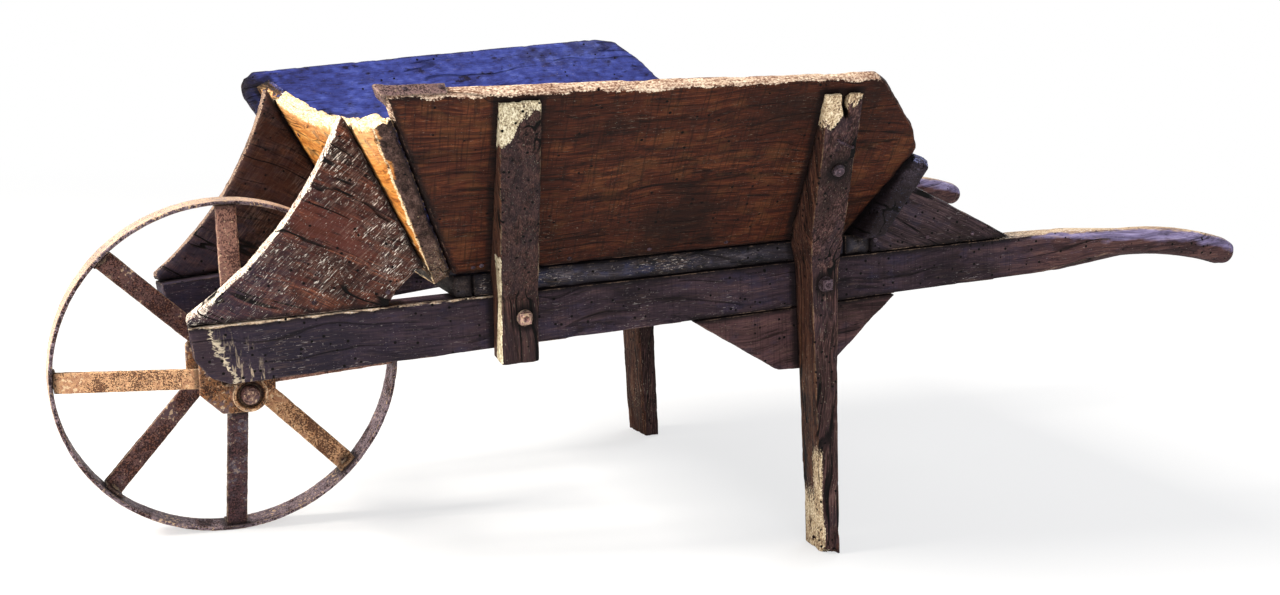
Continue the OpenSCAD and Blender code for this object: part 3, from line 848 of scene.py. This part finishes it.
# legs and stakes: end grain split and bleached at the top, rotted at the foot
propPlan = {
    "leg": {
        "tones": shades((26, 15, 15), (44, 28, 27), (66, 44, 43), (98, 72, 68)),
        "dark": srgb(20, 13, 14), "stain": srgb(48, 37, 44), "grain": turn("Y", 86),
        "scratch": turn("Y", 86), "fleck": 0.6, "fleckRoom": 0.3, "holes": 1.0, "across": 130,
        "fibre": 0.9, "edge": 0.45, "cracks": 1.0, "pale": srgb(204, 184, 150),
        "worn": srgb(150, 122, 94),
    },
    "stake": {
        "tones": shades((24, 14, 14), (42, 26, 25), (58, 38, 35), (80, 55, 50)),
        "dark": srgb(18, 12, 13), "stain": srgb(42, 32, 36), "grain": turn("Y", 92),
        "scratch": turn("Y", 92), "fleck": 0.5, "fleckRoom": 0.25, "holes": 0.9, "across": 130,
        "fibre": 0.9, "edge": 0.45, "cracks": 1.0, "pale": srgb(196, 184, 154),
        "worn": srgb(146, 130, 104), "bright": srgb(228, 220, 196),
    },
    "age": {"along": "Z", "voxel": 0.0024, "nibble": 0.002, "rounding": 0.001},
    # painted light: the lit orange-brown colours of the front faces
    "front": shades((28, 16, 13), (62, 36, 26), (104, 66, 44)),
    "footChips": 0.008,
    # a split: how far out it is moved, or None where it is set on the sloping face, and what split takes
    "legSplits": (
        (None, (-0.789, 0.306, 0.011, 0.082, 0.05, 8)),
        (None, (-0.803, 0.302, 0.005, 0.03, 0.03, 20)),
        (0.05, (-0.804, -0.466, 0.007, 0.085, 0.05, 176)),
        (0.055, (-0.819, -0.466, 0.006, 0.05, 0.04, 184)),
    ),
    "stakeSplits": ((-0.335, 0.33, 0.0055, 0.05, 0.02, 3), (-0.352, 0.33, 0.004, 0.07, 0.016, -4)),
}


def propLitFrontCover(colour, look, start, streak, fibre, **rest):
    # the narrow front faces, turned to the key lamp, are a warmer lit brown and streaked: painted light
    front = ramp(layer(start, "front"), 0.3, 0.7)
    brown = tones(streak + (fibre - 0.5) * 0.5, 0.32, 0.68, *propPlan["front"])
    return mix(front * 0.7, colour, brown), 0


def bleachedTop(z, top, ragged):
    return fade(z, top + ragged - 0.008, top + ragged + 0.006)


def legMarks(out, facing, edge, bumps):
    x, y, z = out.T
    ragged = 0.010 * bumps((70, 70, 30)) + 0.005 * bumps((160, 160, 60), 1)
    wear = bleachedTop(z, 0.254 - 0.035 * fade(x, -0.80, -0.775), ragged)
    # the rot bares the outer front corner of the foot
    inner = -0.811 + 0.3 * ragged - 0.006 * fade(z, -0.36, -0.44)
    foot = fade(x, inner - 0.004, inner + 0.006) * fade(y, 0.03, 0.05) * fade(z, -0.25, -0.31)
    ahead = fade(facing[:, 0], 0.4, 0.8) * fade(z, -0.31, -0.40) * fade(y + ragged, -0.02, 0.02)
    foot = np.maximum(foot, ahead)
    damp = fade(z, -0.42, -0.455) * 0.5 * (1 - foot) * fade(bumps((60, 60, 30), 2), -0.2, 0.5)
    return np.maximum(wear * 0.8, foot * 0.74), damp


def legCuts():
    # two splits in the top, seen square to its sloping face, and two in the foot
    back = railFrame(1).inverted() @ propFrame(1, layout["legThick"], layout["legLean"])
    cutters = []
    for place, numbers in propPlan["legSplits"]:
        cutters.append(split(*numbers))
        cutters[-1].data.transform(back if place is None else shift(0, place, 0))
    return cutters


def legShape(points, normals, side):
    # rotted foot
    low = fade(points[:, 2], -0.39, -0.455)
    bite = np.clip(lumps(points * (70, 70, 24), 83, 3) + 0.1, 0, 1.2) * propPlan["footChips"] * low
    out = points[:, 1] * side
    return points - normals * (bite * fade(out, 0.02, 0.05))[:, None]


def stakeWearAndLitPatch(out, facing, edge, bumps):
    x, y, z = out.T
    ragged = 0.008 * bumps((60, 60, 30)) + 0.004 * bumps((160, 160, 60), 1)
    wear = bleachedTop(z, 0.273 - 0.045 * fade(x, -0.345, -0.318), ragged)
    # low down, the outer part of the front face is painted pale: a painted patch of light below a
    # slanting shadow edge
    line = 0.024 + (z + 0.085) * 0.2
    raw = fade(facing[:, 0], 0.5, 0.8) * fade(y, line - 0.003, line + 0.003) * fade(z, 0.075, 0.065)
    return np.maximum(wear * 0.8, raw), 0


def farMarks(out, facing, edge, bumps):
    # the same timber on the right: only its top is bleached
    wear = fade(out[:, 2], 0.262, 0.28) * fade(facing[:, 2], 0.3, 0.7)
    return wear * 0.8, fade(out[:, 2], -0.42, -0.455) * 0.4


def stakeCuts():
    back = railFrame(1).inverted() @ propFrame(1, layout["stakeThick"], layout["stakeLean"])
    cutters = [split(*numbers) for numbers in propPlan["stakeSplits"]]
    for cutter in cutters:
        cutter.data.transform(back)
    return cutters


props = (("leg", legMarks, legCuts, legShape, 19), ("stake", stakeWearAndLitPatch, stakeCuts, None, 23))
for side, hand in hands:
    local = railFrame(side)
    for name, marks, cuts, shape, seed in props:
        wood = weatheredWood(hand + name + "Wood", local, propPlan[name], propLitFrontCover, side)
        if side < 0:
            marks, cuts = farMarks, None
        piece = aged(hand + name, local, side, wood, propPlan["age"], marks, cuts, shape, seed + side)
        # how far each face looks forward, for the painted light on the front faces
        ahead = readMesh(piece, "normal") @ np.array(local.to_3x3())[:, 0]
        putLayer(piece, "front", fade(ahead, 0.4, 0.7))
print("legs and stakes")

# the floor and the blocks under it
floorPlan = {
    "block": {
        "tones": shades((22, 18, 18), (40, 34, 35), (56, 48, 48), (80, 70, 66)),
        "stain": srgb(52, 54, 66), "grain": turn("Z", 90), "fleck": 0.3, "holes": 0.3,
    },
    "plank": {
        "tones": shades((18, 18, 20), (36, 34, 40), (54, 50, 58), (92, 86, 92)),
        "stain": srgb(48, 54, 84), "fleck": 0.8, "fleckRoom": 0.75, "holes": 0.4,
        "bright": srgb(196, 184, 176),
    },
}
blockWood = weatheredWood("blockWood", deckFrame, floorPlan["block"])
blocks = "front_batten", "rear_batten", "front_bearer", "middle_bearer", "rear_bearer"
for number, node in enumerate(blocks):
    aged(node, deckFrame, 1, blockWood, {"along": "Y", "voxel": 0.004}, seed=31 + number)
plankWood = weatheredWood("plankWood", deckFrame, floorPlan["plank"])
for number in range(1, 5):
    aged("floor_plank_%d" % number, deckFrame, 1, plankWood, {"voxel": 0.004}, seed=40 + number)
print("floor")

# front board: raw yellow timber outside, splintered along its top, old blue paint inside
frontPlan = {
    "wood": {
        "tones": shades((40, 27, 24), (60, 42, 36), (76, 56, 46), (96, 74, 60)), "grain": turn("Z", 90),
        "scratch": turn("Z", 90), "fleck": 0.3, "holes": 0.3, "pale": srgb(240, 216, 176),
        "worn": srgb(206, 168, 122), "stain": srgb(132, 96, 66),
    },
    "raw": shades((120, 66, 26), (180, 108, 44), (206, 138, 64), (230, 178, 106)),
    "endGrain": shades((26, 17, 16), (62, 44, 40), (98, 76, 70)),
    "paint": shades((36, 35, 56), (54, 60, 116), (82, 90, 154)),
    "age": {"along": "Y", "nibble": 0.006, "rounding": 0.0025, "voxel": 0.0028},
    "blotch": srgb(112, 66, 34),
    "height": 0.275,
    "scoop": 0.028,
}


def frontCover(colour, look, start, x, z, streak, fibre, mottle, **rest):
    grain = streak + (fibre - 0.5) * 0.6
    raw = tones(grain, 0.3, 0.68, *frontPlan["raw"])
    raw = mix(ramp(mottle + (streak - 0.5) * 0.9, 0.56, 0.68) * 0.7, raw, frontPlan["blotch"])
    back = tones(grain + (mottle - 0.5) * 0.5, 0.32, 0.68, *frontPlan["paint"])
    face = x + (fibre - 0.5) * 0.004 + layer(start, "corner") * 0.02
    bleached = ramp(z + (mottle - 0.5) * 0.05, 0.19, 0.28)
    raw = mix(bleached * 0.25, raw, tones(grain, 0.34, 0.62, look["worn"], look["pale"], look["bright"]))
    raw = mix(ramp(z + (mottle - 0.5) * 0.03, 0.05, 0.02), raw, frontPlan["endGrain"][0])
    colour = mix(ramp(face, 0.008, 0.004), mix(ramp(face, 0.014, 0.019), colour, raw), back)
    ending = tones(grain, 0.34, 0.64, *frontPlan["endGrain"])
    return mix(layer(start, "ending"), colour, ending), 0


def frontMarks(out, facing, edge, bumps):
    x, y, z = out.T
    sideways = np.abs(facing[:, 1])
    band = 0.003 + 0.006 * bumps((30, 30, 30)) + 0.004 * bumps((120, 120, 120), 1)
    scoop = frontPlan["height"] - frontPlan["scoop"] * fade(np.abs(y), 0.30, 0.12)
    top = fade(z, scoop - 0.010 - band, scoop + 0.004 - band)
    # pale along the forward arrises of the near half: wear, and a painted highlight
    rim = fade(edge, 0.009 + 0.007 * bumps((80, 80, 80), 2), 0.002)
    rim *= fade(facing[:, 0], 0.3, 0.7) * fade(y, 0.0, 0.05)
    # broken pale fibres along the left end
    fringe = fade(edge, 0.0045 + 0.0035 * bumps((110, 110, 60), 4), 0.001) * fade(facing[:, 1], 0.4, 0.7)
    fringe *= fade(x, 0.010, 0.014) * fade(z, 0.03, 0.06)
    # darker at the far end, partly weathering and partly painted shade; end faces darker too: painted
    # shade
    far = fade(y, -0.30 - 0.02 * bumps((20, 20, 20), 3), -0.335)
    stain = far * 0.9 + fade(sideways, 0.55, 0.75) * 0.35
    wear = np.maximum(top * (1 - fade(y, -0.27, -0.3)), rim * 0.8) * fade(sideways, 0.7, 0.5)
    return np.maximum(wear, fringe * 0.66), stain


def frontShape(points, normals, side):
    # splinters along the top
    torn = np.clip(lumps(points * (60, 60, 6), 91, 3) + 0.1, 0, 1.2) * 0.011
    points[:, 2] -= torn * fade(points[:, 2], 0.22, 0.268)
    return points


frontWood = weatheredWood("frontWood", frontFrame, frontPlan["wood"], frontCover)
piece = aged("front_board", frontFrame, 1, frontWood, frontPlan["age"], frontMarks, None, frontShape, 51)
facing = readMesh(piece, "normal") @ np.array(frontFrame.to_3x3())
putLayer(piece, "ending", fade(np.abs(facing[:, 1]), 0.45, 0.6))
putLayer(piece, "corner", -fade(facing[:, 0], 0.2, -0.2) * fade(np.abs(facing[:, 1]), 0.1, 0.3))

# tailboard: rounded bluish grey top, painted paler on its upward faces: a painted highlight
tailPlan = {
    "wood": {
        "tones": shades((22, 18, 20), (40, 33, 37), (54, 46, 52), (76, 66, 76)),
        "stain": srgb(46, 48, 66), "grain": turn("Z", 90), "pale": srgb(106, 108, 146),
        "worn": srgb(68, 68, 96), "bright": srgb(140, 144, 180), "fleck": 0.4, "fleckRoom": 0.4,
        "cracks": 1.0, "holes": 0.7, "edge": 0.6, "fibre": 0.8,
    },
    "age": {"along": "Y", "rounding": 0.006, "nibble": 0.004, "voxel": 0.0028},
}


def tailLitTop(out, facing, edge, bumps):
    return fade(facing[:, 2], 0.4, 0.8) * 0.7, 0


tailWood = weatheredWood("tailWood", tailFrame, tailPlan["wood"])
aged("tailboard", tailFrame, 1, tailWood, tailPlan["age"], tailLitTop, seed=55)
print("boards")

# the wheel
wheelPlan = {
    "tyre": {
        "tones": shades((156, 138, 146), (64, 45, 50), (30, 17, 23)),
        "bright": srgb(226, 192, 152), "rust": srgb(100, 58, 42), "rustShare": 0.8, "edge": 0.9,
        "greyShare": 0.25, "pitShare": 0.95,
    },
    # lit and shaded copies of one spoke iron: pale and middle are painted light, dark is painted shade
    "pale": {
        "tones": shades((208, 164, 122), (160, 114, 82), (66, 38, 30)),
        "bright": srgb(232, 204, 164), "rust": srgb(158, 96, 52), "rustShare": 0.5, "greyShare": 0.1,
    },
    "middle": {
        "tones": shades((160, 118, 102), (116, 80, 70), (54, 31, 31)),
        "greyShare": 0.1, "rustShare": 0.2,
    },
    "brown": {
        "tones": shades((112, 80, 74), (78, 52, 50), (34, 20, 22)), "rustShare": 0.4,
        "greyShare": 0.3,
    },
    "dark": {
        "tones": shades((76, 50, 53), (44, 28, 32), (24, 14, 18)),
        "rust": srgb(92, 54, 42), "rustShare": 0.3, "flakeShare": 0.2,
    },
    "hub": {
        "tones": shades((152, 106, 70), (96, 64, 44), (34, 20, 18)),
        "rustShare": 0.9,
    },
    # which copy each spoke takes, by how it turns to the key lamp; the rest take brown
    "spokes": {1: "pale", 6: "pale", 3: "middle", 5: "middle", 7: "dark", 4: "dark"},
    "age": {"voxel": 0.0018, "rounding": 0.0003, "rough": 0.00022, "nibble": 0.0007, "angle": 50},
}


def treadMarks(out, facing, edge, bumps):
    # the tread is rubbed pale by the ground
    radial = (out[:, 0] * facing[:, 0] + out[:, 2] * facing[:, 2]) / np.hypot(out[:, 0], out[:, 2])
    return fade(radial, 0.6, 0.9) * (0.75 + 0.25 * bumps((30, 30, 30))), 0


def axleMarks(out, facing, edge, bumps):
    return fade(np.abs(facing[:, 1]), 0.6, 0.9) * 0.35, 0


wheelFrame = shift(layout["axleX"], layout["midY"], layout["wheelR"])
ironNames = "tyre", "pale", "middle", "brown", "dark", "hub"
irons = {name: rustyIron(name + "Iron", wheelPlan[name]) for name in ironNames}
aged("tyre", wheelFrame, 1, irons["tyre"], {**wheelPlan["age"], "voxel": 0.0022}, treadMarks, seed=61)
aged("hub", wheelFrame, 1, irons["hub"], wheelPlan["age"], seed=62)
aged("axle", wheelFrame, 1, irons["brown"], {**wheelPlan["age"], "rounding": 0.0022}, axleMarks, seed=63)
aged("tyre_rivets", wheelFrame, 1, irons["brown"], {**wheelPlan["age"], "voxel": 0.001}, seed=64)
for number in range(1, 9):
    iron = irons[wheelPlan["spokes"].get(number, "brown")]
    aged("spoke_%d" % number, wheelFrame, 1, iron, wheelPlan["age"], seed=70 + number)
print("wheel")

# iron on the frame
ironPlan = {
    "eye": {
        "tones": shades((170, 124, 84), (92, 62, 44), (34, 20, 18)),
        "rustShare": 0.9,
    },
    "strap": {
        "tones": shades((200, 164, 160), (134, 96, 94), (62, 40, 42)),
        "rustShare": 0.3, "greyShare": 0.3,
    },
    "nut": {"tones": shades((176, 136, 130), (104, 74, 72), (38, 24, 26))},
    "bolt": {
        "tones": shades((84, 64, 72), (46, 34, 42), (20, 13, 18)),
        "bright": srgb(140, 116, 124), "rust": srgb(70, 42, 36), "greyShare": 0.3, "edge": 0.4,
    },
    "age": {"voxel": 0.0013, "rounding": 0.0004, "rough": 0.0002, "nibble": 0.0006, "angle": 50},
    "boreFrom": 0.0125,  # nothing nearer to the axle's middle line is moved
}
ironNames = "eye", "strap", "nut", "bolt"
eyeIron, strapIron, nutIron, boltIron = (rustyIron(name + "Iron", ironPlan[name]) for name in ironNames)


def fromAxle(points, side):
    # places on the eye as seen from the axle: how far out from its middle line, and how far along it
    world = points @ np.array(railFrame(side).to_3x3()).T + np.array(railFrame(side).to_translation())
    apart = world - (layout["axleX"], layout["midY"], layout["wheelR"])
    return np.hypot(apart[:, 0], apart[:, 2]), apart[:, 1] * side


def eyeShape(points, normals, side):
    # the bore is worn open at its outer end
    away, along = fromAxle(points, side)
    end = along.max()
    sunk = 0.006 * fade(away, 0.0195, 0.0175) * fade(along, end - 0.006, end - 0.001)
    sunk = sunk * (away > ironPlan["boreFrom"])
    return points - np.array(railFrame(side).inverted().to_3x3())[:, 1] * (sunk * side)[:, None]


def eyeMarks(side):
    # a pale rim at the outer end, rubbed and partly a painted highlight, and painted shade inside the
    # bore
    def marks(out, facing, edge, bumps):
        away, along = fromAxle(out * (1, side, 1), side)
        end = along.max()
        rim = fade(away, 0.0185, 0.0205) * fade(away, 0.0262, 0.0245)
        rim *= fade(along, end - 0.003, end - 0.001)
        return rim * 0.42, fade(away, 0.0195, 0.018) * 0.9 * fade(along, end - 0.02, end - 0.01)
    return marks


def strapShape(points, normals, side):
    # the end is hammered over into a thick roll
    roll = fade(points[:, 0], -0.178, -0.163)
    points += normals * (0.0022 * roll)[:, None]
    return points


for side, hand in hands:
    local = railFrame(side)
    eyeAge = {**ironPlan["age"], "voxel": 0.0012}
    aged(hand + "axle_eye", local, side, eyeIron, eyeAge, eyeMarks(side), None, eyeShape, 81)
    aged(hand + "stake_bolt", local, side, nutIron, ironPlan["age"], seed=82)
    aged(hand + "leg_bolts", local, side, boltIron, ironPlan["age"], seed=83)
aged("left_corner_strap", sideFrame(1), 1, strapIron, ironPlan["age"], None, None, strapShape, 84)

# nails, driven where board meets board: places along and up a board, in metres
nailPlan = {
    "radius": 0.0036,
    "flat": 0.36,
    "strapRise": 0.0042,
    "frontFace": 0.0282,
    "side": ((-0.300, 0.016), (-0.312, 0.018), (-0.44, 0.014), (-0.56, 0.016), (-0.68, 0.014),
             (-0.86, 0.016), (-0.90, 0.022)),
    "cheek": ((0.02, 0.022), (-0.08, 0.018), (-0.18, 0.022)),
    "rearCheek": ((-0.93, 0.02), (-1.02, 0.016), (-1.10, 0.014)),
    "strap": ((-0.196, -0.010), (-0.240, -0.011)),
    "front": ((0.155, 0.06), (0.175, 0.13), (0.195, 0.20),
              (-0.155, 0.06), (-0.175, 0.13), (-0.195, 0.20)),
}


def nail(local, x, y, z, axis):
    deselect()
    bpy.ops.mesh.primitive_uv_sphere_add(segments=14, ring_count=8, radius=nailPlan["radius"])
    piece = made("nail")
    points = readMesh(piece, "co") * (1, 1, nailPlan["flat"])
    putPoints(piece, points + 0.0003 * lumps(points * 300, int(abs(x) * 1000), 1)[:, None])
    piece.data.transform(local @ shift(x, y, z) @ axis)
    return piece


outward = turn("X", 90)
nails = []
for side, hand in hands:
    nails += [nail(sideFrame(side), x, side * 0.0004, z, outward) for x, z in nailPlan["side"]]
    nails += [nail(cheekFrame(side), x, side * 0.0004, z, outward) for x, z in nailPlan["cheek"]]
    nails += [nail(railFrame(side), x, side * 0.0002, z, outward) for x, z in nailPlan["rearCheek"]]
for x, y in nailPlan["strap"]:
    nails.append(nail(sideFrame(1), x, y, sideTop(x) + nailPlan["strapRise"], turn("X", 0)))
nails += [nail(frontFrame, nailPlan["frontFace"], y, z, turn("Y", 90)) for y, z in nailPlan["front"]]
for piece in nails:
    evenLayer(piece, "arris", 3.0)
    evenLayer(piece, "grime", 0.55)
deselect()
for piece in nails:
    piece.select_set(True)
bpy.context.view_layer.objects.active = nails[0]
bpy.ops.object.join()
nailHeads = made("nailHeads")
bpy.ops.object.shade_smooth()
nailHeads.data.materials.append(boltIron)
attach(nailHeads, "frame")

# the staple across the split in the left leg: a ring with a flattened back, on the sloping face
staplePlan = {
    "place": (-0.8035, 0.0, 0.2165),
    "turn": -28,
    "ring": {"major_radius": 0.0145, "minor_radius": 0.0022, "major_segments": 40, "minor_segments": 10},
    "backStart": 0.006,
    "backShare": 0.25,
    "sunk": 0.0035,
}
deselect()
bpy.ops.mesh.primitive_torus_add(**staplePlan["ring"])
staple = made("legStaple")
points = readMesh(staple, "co")
past = points[:, 1] - staplePlan["backStart"]
points[:, 1] -= np.where(past > 0, past * (1 - staplePlan["backShare"]), 0)
putPoints(staple, points - (0, staplePlan["sunk"], 0))
topFace = propFrame(1, layout["legThick"], layout["legLean"])
staple.data.transform(topFace @ shift(*staplePlan["place"]) @ turn("Y", staplePlan["turn"]))
evenLayer(staple, "arris", 3.0)
evenLayer(staple, "grime", 0.2)
pick(staple)
bpy.ops.object.shade_smooth()
staple.data.materials.append(boltIron)
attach(staple, "frame")
print("iron")

# the floor, the sky and the lamps
studioPlan = {
    "size": 60,
    "tone": (0.86, 0.86, 0.87, 1),
    "white": 0.6,
    "sky": 0.5,
    "lamps": {
        "keyLamp": ((4.2, 0.0, 3.4), 1.3, 470, (1, 0.95, 0.86)),
        "fillLamp": ((1.5, 4.5, 2.2), 3.0, 100, (0.9, 0.94, 1)),
        "backLamp": ((-4, -2.5, 3.0), 2.5, 90, (0.95, 0.97, 1)),
    },
    "aim": (0, 0, 0.4),
}
deselect()
bpy.ops.mesh.primitive_plane_add(size=studioPlan["size"], location=(0, 0, 0))
ground = made("studioFloor")
groundTone, groundSurface, groundStart = newFinish("studioFloorTone")
groundSurface.inputs["Base Color"].default_value = studioPlan["tone"]
groundSurface.inputs["Roughness"].default_value = 0.9
groundSurface.inputs["Specular IOR Level"].default_value = 0
glow = groundStart.node("Emission", None, {"Color": (1, 1, 1, 1), "Strength": 1.0})
seen = groundStart.node("LightPath", None, None, 0)
far = groundStart.node("VectorMath", {"operation": "LENGTH"}, {0: groundStart}, 1)
share = seen * (studioPlan["white"] + ramp(far, 1.5, 5) * (1 - studioPlan["white"]))
groundTree = groundStart.tree
plain = Wire(groundTree, groundSurface.outputs[0])
blend = groundStart.node("MixShader", None, {0: share, 1: plain, 2: glow})
groundTree.links.new(blend.socket, groundTree.nodes["Material Output"].inputs["Surface"])
ground.data.materials.append(groundTone)

sky = bpy.data.worlds.new("studioSky")
sky.use_nodes = True
skyTone = sky.node_tree.nodes["Background"]
skyTone.inputs["Color"].default_value = (1, 1, 1, 1)
rays = Wire(sky.node_tree, sky.node_tree.nodes.new("ShaderNodeLightPath").outputs[0])
glossy = rays.node("LightPath", None, None, 3)
strength = rays.math("MAXIMUM", rays, glossy * 0.8) * (1 - studioPlan["sky"]) + studioPlan["sky"]
sky.node_tree.links.new(strength.socket, skyTone.inputs["Strength"])
bpy.context.scene.world = sky

for name, (place, size, power, tint) in studioPlan["lamps"].items():
    bpy.ops.object.light_add(type="AREA", location=place)
    lamp = made(name)
    lamp.rotation_euler = (Vector(studioPlan["aim"]) - Vector(place)).to_track_quat("-Z", "Y").to_euler()
    lamp.data.size = size
    lamp.data.energy = power
    lamp.data.color = tint

# the camera, a low three-quarter view from the left and a little ahead
view = {
    "place": (layout["axleX"] + 0.3571, layout["midY"] + 2.0666, 0.7758),
    "right": (-0.8993, 0.4316, 0.0705),
    "up": (-0.0179, -0.1974, 0.9802),
    "back": (0.437, 0.8802, 0.1853),
    "lens": 39.36,
}
bpy.ops.object.camera_add()
camera = made("studioCamera")
axes = Matrix((view["right"], view["up"], view["back"])).transposed()
camera.matrix_world = shift(*view["place"]) @ axes.to_quaternion().to_matrix().to_4x4()
camera.data.lens = view["lens"]
camera.data.sensor_width = 36
camera.data.sensor_fit = "HORIZONTAL"
bpy.context.scene.camera = camera
bpy.context.scene.view_settings.view_transform = "Standard"
print("studio")
